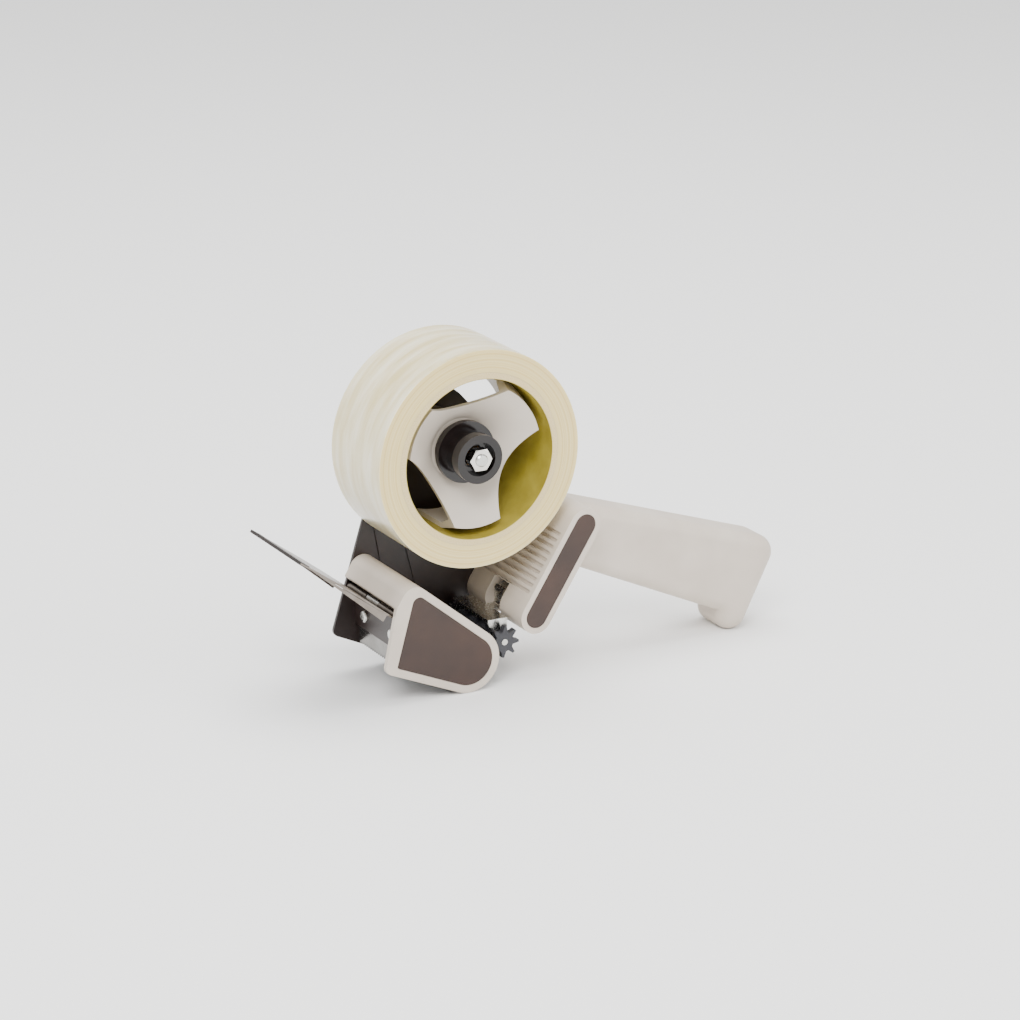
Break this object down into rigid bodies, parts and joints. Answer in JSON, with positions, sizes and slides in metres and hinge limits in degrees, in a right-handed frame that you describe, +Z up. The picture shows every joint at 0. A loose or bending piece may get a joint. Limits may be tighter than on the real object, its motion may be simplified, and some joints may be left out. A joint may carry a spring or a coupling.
{
  "type": "packing tape dispenser",
  "caption": "Hand-held packing tape dispenser with pistol grip, braked tape hub, application roller, toothed hold-down roller, cutter blade and hinged wiper flap.",
  "frame": {"origin": "middle of the footprint, on the surface the tool stands on", "axes": "+X along the tool from the roll towards the grip's end, +Y from the open side that takes the roll towards the side plate, +Z up"},
  "size_m": [0.2663, 0.0586, 0.164],
  "materials": {
    "handle_plastic": "moulded ivory beige plastic, satin",
    "hub_plastic": "moulded ivory beige plastic, satin",
    "brown_plate": "dark brown textured paint",
    "brown_plastic": "dark brown textured plastic",
    "knob_plastic": "black brown gloss plastic",
    "plated_steel": "bright nickel plate",
    "zinc_steel": "zinc plated steel",
    "spring_steel": "bare spring steel",
    "blade_steel": "ground steel",
    "dark_edging": "dark edging",
    "roller_rubber": "black rubber",
    "roller_plastic": "dark plastic",
    "star_plastic": "dark grey plastic",
    "tape_film": "wound film tape, cream",
    "core_board": "tape core, yellow olive",
    "felt": "pressed felt",
    "brass": "turned brass",
    "bush_plastic": "white acetal"
  },
  "bodies": {
    "frame": {"side_plate": "brown_plate", "front_cover": "handle_plastic", "cover_inset": "brown_plastic", "roller_axle": "zinc_steel", "blade_bracket": "brown_plate", "cutter_blade": "blade_steel", "blade_clamp": "zinc_steel", "blade_screws": "zinc_steel", "flap_pin": "zinc_steel", "lever_pin": "zinc_steel", "handle_near_half": "handle_plastic", "handle_far_half": "handle_plastic", "post_stripe": "brown_plastic", "shell_screws": "zinc_steel", "post_screws": "zinc_steel", "cover_screws": "zinc_steel", "felt_washer_back": "felt", "felt_washer_front": "felt", "pressure_washer": "zinc_steel", "spindle": "zinc_steel", "end_nut": "plated_steel", "spindle_nut": "zinc_steel", "brake_spring": "spring_steel"},
    "hub": {"tape_hub": "hub_plastic", "hub_bush": "bush_plastic", "tape_core": "core_board", "tape_roll": "tape_film"},
    "roller": {"roller_core": "roller_plastic", "roller_sleeve": "roller_rubber"},
    "flap": {"wiper_flap": "spring_steel", "flap_edge": "dark_edging", "flap_spring": "spring_steel"},
    "lever": {"hold_lever": "zinc_steel", "lever_spring": "spring_steel"},
    "star": {"star_middle": "star_plastic", "star_near_end": "star_plastic", "star_far_end": "star_plastic", "star_axle": "zinc_steel"},
    "knob_carrier": {"spring_seat": "zinc_steel"},
    "knob": {"brake_knob": "knob_plastic", "knob_insert": "brass"}
  },
  "joints": [
    {"name": "hub_spin", "type": "hinge", "parent": "frame", "child": "hub", "pos_m": [-0.04, 0, 0.112], "axis": [0, 1, 0], "continuous": true},
    {"name": "roller_spin", "type": "hinge", "parent": "frame", "child": "roller", "pos_m": [-0.049, 0, 0.015], "axis": [0, 1, 0], "continuous": true},
    {"name": "flap_swing", "type": "hinge", "parent": "frame", "child": "flap", "pos_m": [-0.0816, 0, 0.042], "axis": [0, 1, 0], "range_deg": [0, 20], "stiffness_Nm_per_rad": 0.12, "springref_deg": -20.05},
    {"name": "lever_swing", "type": "hinge", "parent": "frame", "child": "lever", "pos_m": [-0.0085, 0, 0.0365], "axis": [0, -1, 0], "range_deg": [0, 12], "stiffness_Nm_per_rad": 0.08, "springref_deg": -20.05},
    {"name": "star_spin", "type": "hinge", "parent": "lever", "child": "star", "pos_m": [-0.0248, 0, 0.02], "axis": [0, 1, 0], "continuous": true},
    {"name": "knob_advance", "type": "slide", "parent": "frame", "child": "knob_carrier", "axis": [0, -1, 0], "range_m": [0, 0.001], "deforming": ["brake_spring"]},
    {"name": "knob_turn", "type": "hinge", "parent": "knob_carrier", "child": "knob", "pos_m": [-0.04, 0, 0.112], "axis": [0, -1, 0], "range_deg": [0, 360]}
  ],
  "couplings": [
    {"joint": "knob_advance", "follows": "knob_turn", "m_per_rad": 0.00015915}
  ]
}
